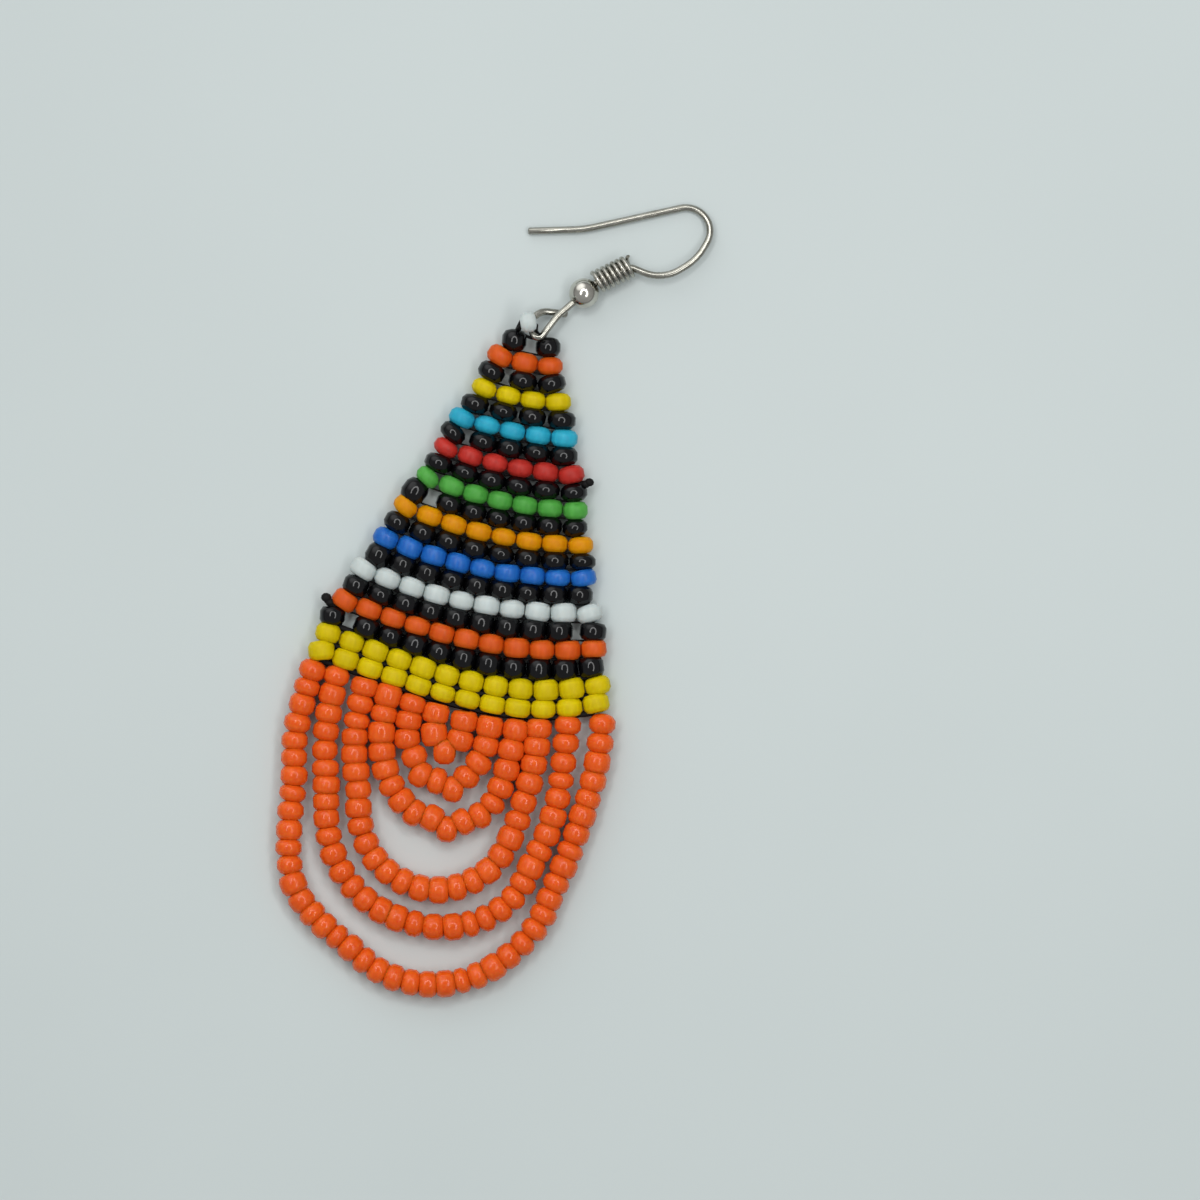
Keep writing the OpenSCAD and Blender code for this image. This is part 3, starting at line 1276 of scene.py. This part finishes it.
@dataclass(frozen=True)
class HookBall:
    """The drilled ball on the ear wire.

    Attributes:
        width: Width of the ball.
        hole: Width of its hole.
        segments: Faces round it.
        rings: Rings of faces from pole to pole.
        edge_angle: Edges sharper than this stay sharp.
    """

    width: float = 3.0
    hole: float = 0.9
    segments: int = 40
    rings: int = 24
    edge_angle: float = 40.0

    def build(self, middle: Vector, along: Vector) -> bpy.types.Object:
        """Cuts both poles off a sphere and joins the cuts into the hole for the wire.

        Args:
            middle: Middle of the ball, in metres.
            along: Direction of its hole.

        Returns:
            The ball.
        """
        deselect_all()
        bpy.ops.mesh.primitive_uv_sphere_add(
            segments=self.segments,
            ring_count=self.rings,
            radius=self.width / 2 * MM,
        )
        ball = bpy.context.object
        cut = math.sqrt(self.width ** 2 - self.hole ** 2) / 2 * MM
        bpy.ops.object.mode_set(mode="EDIT")
        for side in (1, -1):
            bpy.ops.mesh.select_all(action="SELECT")
            bpy.ops.mesh.bisect(plane_co=(0, 0, side * cut), plane_no=(0, 0, side), clear_outer=True)
        select_open_edges()
        bpy.ops.mesh.bridge_edge_loops()
        mend_normals()
        upright = Vector((0, 0, 1)).rotation_difference(along)
        ball.data.transform(Matrix.Translation(middle) @ upright.to_matrix().to_4x4())
        ball.name = "wire_ball"
        smooth(ball, self.edge_angle)
        dress(ball, Nickel.BALL.value.material())
        return hand_over(ball, Nickel.BALL.value.name, "hook_ball")


@dataclass(frozen=True)
class HookCoil:
    """The close coil of thinner wire on the ear wire.

    Attributes:
        width: Width of the coil.
        wire: Thickness of its wire.
        turns: Number of its turns.
        pitch: Distance from one turn to the next.
        place: Its middle, in the plane of the ear wire from the middle of the ball.
        heading: Its direction in that plane.
        stub: How far its cut end stands out, round the coil and along it.
        sides: Faces round its wire.
        steps: Short stretches in one turn.
        edge_angle: Edges sharper than this stay sharp.
    """

    width: float = 2.5
    wire: float = 0.45
    turns: float = 6.9
    pitch: float = 0.54
    place: Point = (2.5, 2.47, 0.08)
    heading: float = 38.0
    stub: tuple[float, float] = (0.32, 0.24)
    sides: int = 10
    steps: int = 24
    edge_angle: float = 50.0

    def screw(self) -> bpy.types.Object:
        """Screws a ring of thin wire up the Z axis and closes its two cut ends.

        Returns:
            The coil, which starts at the origin, as the active object.
        """
        deselect_all()
        bpy.ops.mesh.primitive_circle_add(
            vertices=self.sides,
            radius=self.wire / 2 * MM,
            location=((self.width - self.wire) / 2 * MM, 0, 0),
            rotation=(math.pi / 2, 0, 0),
        )
        coil = bpy.context.object
        apply_place()
        bpy.ops.object.modifier_add(type="SCREW")
        screw = coil.modifiers[-1]
        screw.angle = math.tau * self.turns
        screw.screw_offset = self.pitch * self.turns * MM
        screw.steps = round(self.turns * self.steps)
        screw.render_steps = screw.steps
        screw.use_smooth_shade = True
        bpy.ops.object.modifier_apply(modifier=screw.name)
        bpy.ops.object.mode_set(mode="EDIT")
        select_open_edges()
        bpy.ops.mesh.edge_face_add()
        bpy.ops.object.mode_set(mode="OBJECT")
        return coil

    def draw_out_stub(self, coil: bpy.types.Object) -> None:
        """Draws the upper cut end out a little, round the coil and along it.

        Args:
            coil: The coil as it was screwed.
        """
        half_way = self.pitch * self.turns / 2 * MM
        # The only faces with as many corners as the wire has sides are its two cut ends
        select_faces(coil, lambda face: len(face.vertices) == self.sides and face.center.z > half_way)
        ahead = Matrix.Rotation(math.tau * self.turns, 3, "Z") @ Vector((0, *self.stub))
        bpy.ops.mesh.extrude_region_move(TRANSFORM_OT_translate={"value": ahead * MM})
        mend_normals()

    def build(self, lie: Matrix) -> bpy.types.Object:
        """Makes the coil and lays it round the ear wire.

        Args:
            lie: The plane of the ear wire, from the middle of the ball.

        Returns:
            The coil.
        """
        coil = self.screw()
        self.draw_out_stub(coil)
        centred = Matrix.Translation((0, 0, -self.pitch * self.turns / 2 * MM))
        # Lays the coil's axis from Z along X
        along_x = Matrix(((0, 0, 1, 0), (1, 0, 0, 0), (0, 1, 0, 0), (0, 0, 0, 1)))
        heading = Matrix.Rotation(math.radians(self.heading), 4, "Z")
        middle = Matrix.Translation(Vector(self.place) * MM)
        coil.data.transform(lie @ middle @ heading @ along_x @ centred)
        coil.name = "wire_coil"
        smooth(coil, self.edge_angle)
        dress(coil, Nickel.COIL.value.material())
        return hand_over(coil, Nickel.COIL.value.name, "hook_coil")


@dataclass(frozen=True)
class EarHook:
    """The bent ear wire with its ball and its coil.

    Attributes:
        width: Thickness of the wire.
        tail: Length of its straight tail.
        eye_end: Length of the straight end of its eye.
        heading: Direction of the wire in the ball, from X.
        slope: How far the plane of the wire falls.
        slope_heading: Direction in which it falls, from X.
        hook_bends: Its bends from the ball to the tail.
        eye_bends: Its bends from the ball round the eye.
        edge_angle: Edges sharper than this stay sharp.
        ball_place: Place of the ball, which lies on the surface.
        ball: The ball.
        coil: The coil.
    """

    width: float = 0.7
    tail: float = 4.7
    eye_end: float = 0.35
    heading: float = 52.8
    slope: float = 9.2
    slope_heading: float = 109.0
    hook_bends: tuple[Bend, ...] = (
        Bend(1.25, 0, 3.0, -15.5),
        Bend(2.6, 0, 1.4, -49),
        Bend(0.95, 0, 3.9, 54.5),
        Bend(0.7, 0, 5.3, 29.5),
        Bend(0.55, 0, 2.4, 131.5),
        Bend(9.0, 0, 9.3, -11),
    )
    eye_bends: tuple[Bend, ...] = (
        Bend(3.3, 0, 1.9, 11),
        Bend(2.3, 0, 0.55, -124),
        Bend(0.7, 17, 1.0, -71),
        Bend(0.5, 0, 1.6, -41),
        Bend(1.5, 0, 1.7, -4),
    )
    edge_angle: float = 50.0
    ball_place: Spot = (5.1, 4.1)
    ball: HookBall = HookBall()
    coil: HookCoil = HookCoil()

    @property
    def lie(self) -> Matrix:
        """The plane of the wire, with its origin in the middle of the ball."""
        turn = Matrix.Rotation(math.radians(self.slope_heading), 4, "Z")
        lean = Matrix.Rotation(math.radians(self.slope), 4, "Y")
        ball = Matrix.Translation(metres(*self.ball_place, self.ball.width / 2))
        return ball @ turn @ lean @ turn.inverted()

    def direction(self, heading: float) -> Vector:
        """Returns a direction in the plane of the wire, from its heading in degrees from X."""
        flat = Vector((math.cos(math.radians(heading)), math.sin(math.radians(heading)), 0))
        return self.lie.to_3x3() @ flat

    def half(self, heading: float, bends: Sequence[Bend], end: float) -> bpy.types.Object:
        """Bends one half of the wire, from the middle of the ball.

        Args:
            heading: Direction of the half as it leaves the ball.
            bends: Its bends.
            end: Straight length after the last bend.

        Returns:
            The half as a mesh.
        """
        start = self.lie.to_translation()
        bender = WireBender(start, self.direction(heading), self.direction(heading + 90), self.width)
        for bend in bends:
            bender.bend(bend)
        return bender.finish(end)

    def build_wire(self) -> bpy.types.Object:
        """Bends the hook and the eye and joins them in the middle of the ball.

        Returns:
            The wire.
        """
        front = self.half(self.heading, self.hook_bends, self.tail)
        eye = self.half(self.heading + 180, self.eye_bends, self.eye_end)
        wire = join("ear_wire", [front, eye])
        smooth(wire, self.edge_angle)
        dress(wire, Nickel.WIRE.value.material())
        return hand_over(wire, Nickel.WIRE.value.name, "ear_hook")

    def build(self) -> list[bpy.types.Object]:
        """Builds the wire, the ball and the coil.

        Returns:
            The three pieces.
        """
        wire = self.build_wire()
        ball = self.ball.build(self.lie.to_translation(), self.direction(self.heading))
        return [wire, ball, self.coil.build(self.lie)]


@dataclass(frozen=True)
class Strand:
    """One length of bare thread.

    Attributes:
        way: Its points.
        width: Its thickness.
        end_share: Share of that thickness that it still has at its end.
        order: Number of points that draw on each place of it.
        fineness: Short straight stretches between two of its points.
    """

    way: Sequence[Point]
    width: float
    end_share: float = 1.0
    order: int = 3
    fineness: int = 4

    def build(self) -> bpy.types.Object:
        """Lays the thread along its way.

        Returns:
            The thread as a mesh.
        """
        deselect_all()
        curve = bpy.data.curves.new("strand", "CURVE")
        curve.dimensions = "3D"
        curve.bevel_depth = self.width / 2 * MM
        curve.bevel_resolution = 1
        curve.use_fill_caps = True
        curve.resolution_u = self.fineness
        spline = curve.splines.new("NURBS")
        spline.points.add(len(self.way) - 1)
        for i, (point, place) in enumerate(zip(spline.points, self.way)):
            point.co = (*metres(*place), 1.0)
            point.radius = 1 - (1 - self.end_share) * i / (len(self.way) - 1)
        spline.order_u = min(self.order, len(self.way))
        spline.use_endpoint_u = True
        strand = bpy.data.objects.new("strand", curve)
        bpy.context.collection.objects.link(strand)
        make_active(strand)
        bpy.ops.object.convert(target="MESH")
        return bpy.context.object


@dataclass(frozen=True)
class Knot:
    """One lump of knotted and melted thread, a little flattened.

    Attributes:
        middle: Its middle.
        half_width: Half its width.
        squash: Share of that width that it has along each axis.
    """

    middle: Point
    half_width: float
    squash: tuple[float, float, float] = (1.0, 0.88, 0.9)

    def build(self) -> bpy.types.Object:
        """Adds the lump.

        Returns:
            The lump as a mesh.
        """
        deselect_all()
        bpy.ops.mesh.primitive_ico_sphere_add(
            subdivisions=2,
            radius=self.half_width * MM,
            location=metres(*self.middle),
        )
        lump = bpy.context.object
        lump.scale = self.squash
        apply_place()
        return lump


@dataclass(frozen=True)
class ThreadWork:
    """The black thread: seams between rows, the loop round the eye and the melted thread ends.

    Attributes:
        seam: Thickness of the thread between the rows.
        thread_and_shade_seam: Thickness of the thread at and below the lowest rows. It is thick enough that
            its black also stands for the painted shade between those rows.
        thick_from: Number of the first row with the thick thread above it.
        core: Thickness of the thread inside the swags.
        core_steps: Short straight stretches of it between two points of a swag's route.
        loops: The thread of the loop round the eye.
        ends: The loose ends.
        knots: The lumps at their ends.
        edge_angle: Edges sharper than this stay sharp.
    """

    seam: float = 0.2
    # Partly real thread, partly painted shade: the thick black fills the shaded gaps of the lowest rows
    thread_and_shade_seam: float = 0.62
    thick_from: int = 20
    core: float = 0.22
    core_steps: int = 3
    loops: tuple[Strand, ...] = (
        Strand((
            (-0.75, -2.2, 1.3), (-0.65, -0.75, 1.7), (-0.6, -0.55, 2.8), (-0.35, -0.42, 3.4),
            (0.3, -0.2, 3.4), (1.1, 0.05, 3.4), (1.15, -0.1, 2.8), (1.2, -0.8, 1.5),
            (2.9, -1.15, 1.2), (2.9, -2.2, 1.2),
        ), 0.32),
        Strand((
            (-0.7, -2.3, 1.2), (-0.4, -1.0, 1.4), (0.7, -1.35, 1.35), (1.9, -1.2, 1.3), (2.8, -2.2, 1.2),
        ), 0.32),
    )
    ends: tuple[Strand, ...] = (
        Strand(((-0.66, -0.9, 1.5), (-0.56, -0.4, 1.9), (-0.42, 0.15, 2.3)), 0.62, 0.75),
        Strand(((8.2, -14.8, 1.2), (8.6, -14.65, 1.4), (9.0, -14.5, 1.5)), 0.7),
        Strand(((-13.0, -31.6, 1.3), (-13.5, -31.3, 1.6), (-13.95, -30.95, 1.7), (-14.2, -30.75, 1.7)), 0.75),
    )
    knots: tuple[Knot, ...] = (
        Knot((8.98, -14.55, 1.5), 0.46),
        Knot((9.32, -14.3, 1.6), 0.48),
        Knot((-14.15, -30.7, 1.7), 0.54),
        Knot((-13.7, -31.1, 1.65), 0.48),
    )
    edge_angle: float = 60.0

    def seams(self, panel: BeadPanel) -> list[Strand]:
        """Works out the thread above every row but the first, and below the last one.

        Args:
            panel: The panel, which gives the ways of the seams.

        Returns:
            The strands.
        """
        rows = len(panel.rows)
        seams = []
        for number in range(2, rows + 1):
            # From that row down, the thread is thick, and its black also paints the shade between the rows
            # and under the last one
            width = self.seam if number < self.thick_from else self.thread_and_shade_seam
            seams.append(Strand(panel.seam(number), width))
        return seams + [Strand(panel.seam(rows, below=True), self.thread_and_shade_seam)]

    def cores(self, fringe: SwagFringe) -> list[Strand]:
        """Works out the thread inside the swags.

        Args:
            fringe: The swags.

        Returns:
            The strands.
        """
        cores = []
        for swag in fringe.swags:
            way = [(point.x, point.y, fringe.width / 2) for point in swag.line(self.core_steps)]
            cores.append(Strand(way, self.core))
        return cores

    def build(self, panel: BeadPanel, fringe: SwagFringe) -> bpy.types.Object:
        """Lays every strand and joins them into one piece, which stands for no CAD node.

        Args:
            panel: The panel that the thread holds together.
            fringe: The swags that it carries.

        Returns:
            The thread.
        """
        work = [*self.seams(panel), *self.cores(fringe), *self.loops, *self.ends, *self.knots]
        piece = join("beading_thread", [item.build() for item in work])
        smooth(piece, self.edge_angle)
        dress(piece, ThreadFinish().material())
        return hand_over(piece, None)


@dataclass(frozen=True)
class LampArch:
    """Narrow soft lamps set end to end in an arch round the camera, open towards the viewer.

    Attributes:
        half_width: How far the arch reaches to either side.
        half_length: How far it reaches up the picture.
        height: Its height above the table.
        first: Angle of its end on the right, from the right of the picture.
        last: Angle of its end on the left.
        lamps: Number of lamps in it.
        breadth: Width of each lamp.
        brightness: How brightly each lamp shines, the same all along the arch.
    """

    half_width: float = 136.0
    half_length: float = 168.0
    height: float = 300.0
    first: float = -50.0
    last: float = 192.0
    lamps: int = 9
    breadth: float = 50.0
    brightness: float = 6.2

    def spot(self, i: int) -> tuple[Vector, Vector]:
        """Finds where a lamp hangs, as seen in the picture.

        Args:
            i: Number of the lamp, from 0.

        Returns:
            Its place, and how far the arch runs along it, both in millimetres.
        """
        step = math.radians(self.last - self.first) / self.lamps
        angle = math.radians(self.first) + step * (i + 0.5)
        right, up = math.cos(angle), math.sin(angle)
        place = Vector((self.half_width * right, self.half_length * up, self.height))
        along = Vector((-self.half_width * up, self.half_length * right, 0.0)) * step
        return place, along


@dataclass(frozen=True)
class Room:
    """The light of the room: dim at the level of the table, brighter above it and towards a window.

    Attributes:
        low: Its brightness at the level of the table.
        overhead: Its brightness above the table.
        overhead_from: Height from which it is that bright, where 1 is straight up.
        colour: Its colour, as linear light.
        window: How much brighter it is at the window.
        window_side: Direction of the window: right, up the picture, and up from the table.
        window_edge: Where the window starts to show, where 1 is its middle.
    """

    low: float = 0.17
    overhead: float = 0.385
    overhead_from: float = 0.35
    colour: tuple[float, float, float, float] = (0.98, 0.99, 1.0, 1.0)
    window: float = 1.2
    window_side: tuple[float, float, float] = (-0.4, 0.75, 0.55)
    window_edge: float = 0.78

    def build(self, window: Vector) -> bpy.types.World:
        """Makes the room's light.

        Args:
            window: Direction of the window in the frame, of unit length.

        Returns:
            The new world.
        """
        world = bpy.data.worlds.new("room")
        world.use_nodes = True
        sheet = NodeSheet(world.node_tree)
        place = sheet.add("ShaderNodeTexCoord").outputs["Generated"]
        parts = sheet.add("ShaderNodeSeparateXYZ")
        sheet.link(place, parts.inputs["Vector"])
        towards = sheet.add("ShaderNodeVectorMath", operation="DOT_PRODUCT")
        towards.inputs[1].default_value = window
        sheet.link(place, towards.inputs[0])
        even = sheet.spread(parts.outputs["Z"], self.low, self.overhead, 0.0, self.overhead_from, Ramp.EASED)
        side = sheet.spread(towards.outputs["Value"], 0.0, self.window, self.window_edge, 1.0, Ramp.EASED)
        total = sheet.add("ShaderNodeMath", operation="ADD")
        sheet.link(even, total.inputs[0])
        sheet.link(side, total.inputs[1])
        room = sheet.tree.nodes["Background"]
        room.inputs["Color"].default_value = self.colour
        sheet.link(total.outputs["Value"], room.inputs["Strength"])
        return world


@dataclass(frozen=True)
class Studio:
    """The table, the lamps, the room and the camera.

    Attributes:
        view_middle: Middle of the picture, in the frame.
        view_turn: How far the picture is turned against the earring.
        view_width: Width of the picture on the table.
        camera_height: Height of the camera.
        sensor: Width of its sensor.
        sight: Nearest and furthest thing that it sees.
        table_size: Width of the table.
        table: Finish of the table.
        arch: The lamps.
        room: The room's light.
    """

    view_middle: Spot = (12.16, 1.0)
    view_turn: float = 11.3
    view_width: float = 120.0
    camera_height: float = 600.0
    sensor: float = 36.0
    sight: tuple[float, float] = (10.0, 20000.0)
    table_size: float = 8000.0
    table: TableFinish = TableFinish()
    arch: LampArch = LampArch()
    room: Room = Room()

    def placed(self, right: float, up: float, height: float) -> Vector:
        """Turns a place in the picture, in millimetres from its middle, into metres in the frame."""
        turned = Matrix.Rotation(math.radians(self.view_turn), 2) @ Vector((right, up))
        return Vector((turned.x + self.view_middle[0], turned.y + self.view_middle[1], height)) * MM

    def turned(self, right: float, up: float, height: float) -> Vector:
        """Turns a direction in the picture into one of unit length in the frame."""
        turn = Matrix.Rotation(math.radians(self.view_turn), 3, "Z")
        return (turn @ Vector((right, up, height))).normalized()

    def build_table(self) -> None:
        """Lays the table top."""
        deselect_all()
        bpy.ops.mesh.primitive_plane_add(size=self.table_size * MM, location=(0, 0, 0))
        table = bpy.context.object
        table.name = "table_top"
        dress(table, self.table.material())

    def build_lamps(self) -> None:
        """Hangs the lamps of the arch, each one turned to the middle of the picture."""
        middle = self.placed(0, 0, 0)
        for i in range(self.arch.lamps):
            place, along = self.arch.spot(i)
            light = bpy.data.lights.new(f"lamp_{i + 1}", "AREA")
            light.shape = "RECTANGLE"
            light.size = self.arch.breadth * MM
            light.size_y = along.length * MM
            light.energy = self.arch.brightness * math.pi * light.size * light.size_y
            spot = self.placed(*place)
            back = (spot - middle).normalized()
            across = self.turned(*along).cross(back).normalized()
            turn = Matrix((across, back.cross(across), back)).transposed()
            holder = bpy.data.objects.new(light.name, light)
            holder.matrix_world = Matrix.Translation(spot) @ turn.to_4x4()
            bpy.context.collection.objects.link(holder)

    def build_camera(self) -> None:
        """Hangs the camera straight over the table, turned as the photograph is."""
        camera = bpy.data.cameras.new("camera")
        camera.sensor_width = self.sensor
        camera.lens = self.sensor * self.camera_height / self.view_width
        camera.clip_start = self.sight[0] * MM
        camera.clip_end = self.sight[1] * MM
        holder = bpy.data.objects.new("camera", camera)
        holder.location = self.placed(0, 0, self.camera_height)
        holder.rotation_euler = Euler((0, 0, math.radians(self.view_turn)))
        bpy.context.collection.objects.link(holder)
        bpy.context.scene.camera = holder

    def build(self) -> None:
        """Builds the studio and has colours shown as they are."""
        self.build_table()
        self.build_lamps()
        bpy.context.scene.world = self.room.build(self.turned(*self.room.window_side))
        self.build_camera()
        bpy.context.scene.view_settings.view_transform = "Standard"


def main() -> None:
    """Builds the earring piece by piece, reports each piece, and builds the studio round them."""
    logging.basicConfig(level=logging.INFO, format="%(name)s %(message)s")
    tray = BeadTray(seed=21)
    panel = BeadPanel()
    fringe = SwagFringe()
    pieces = panel.build(tray) + fringe.build(tray)
    pieces.append(TopBead().build(tray))
    tray.put_away()
    pieces += EarHook().build()
    pieces.append(ThreadWork().build(panel, fringe))
    for piece in pieces:
        LOG.info("%s: %d faces", piece.name, len(piece.data.polygons))
    Studio().build()


if __name__ == "__main__":
    main()
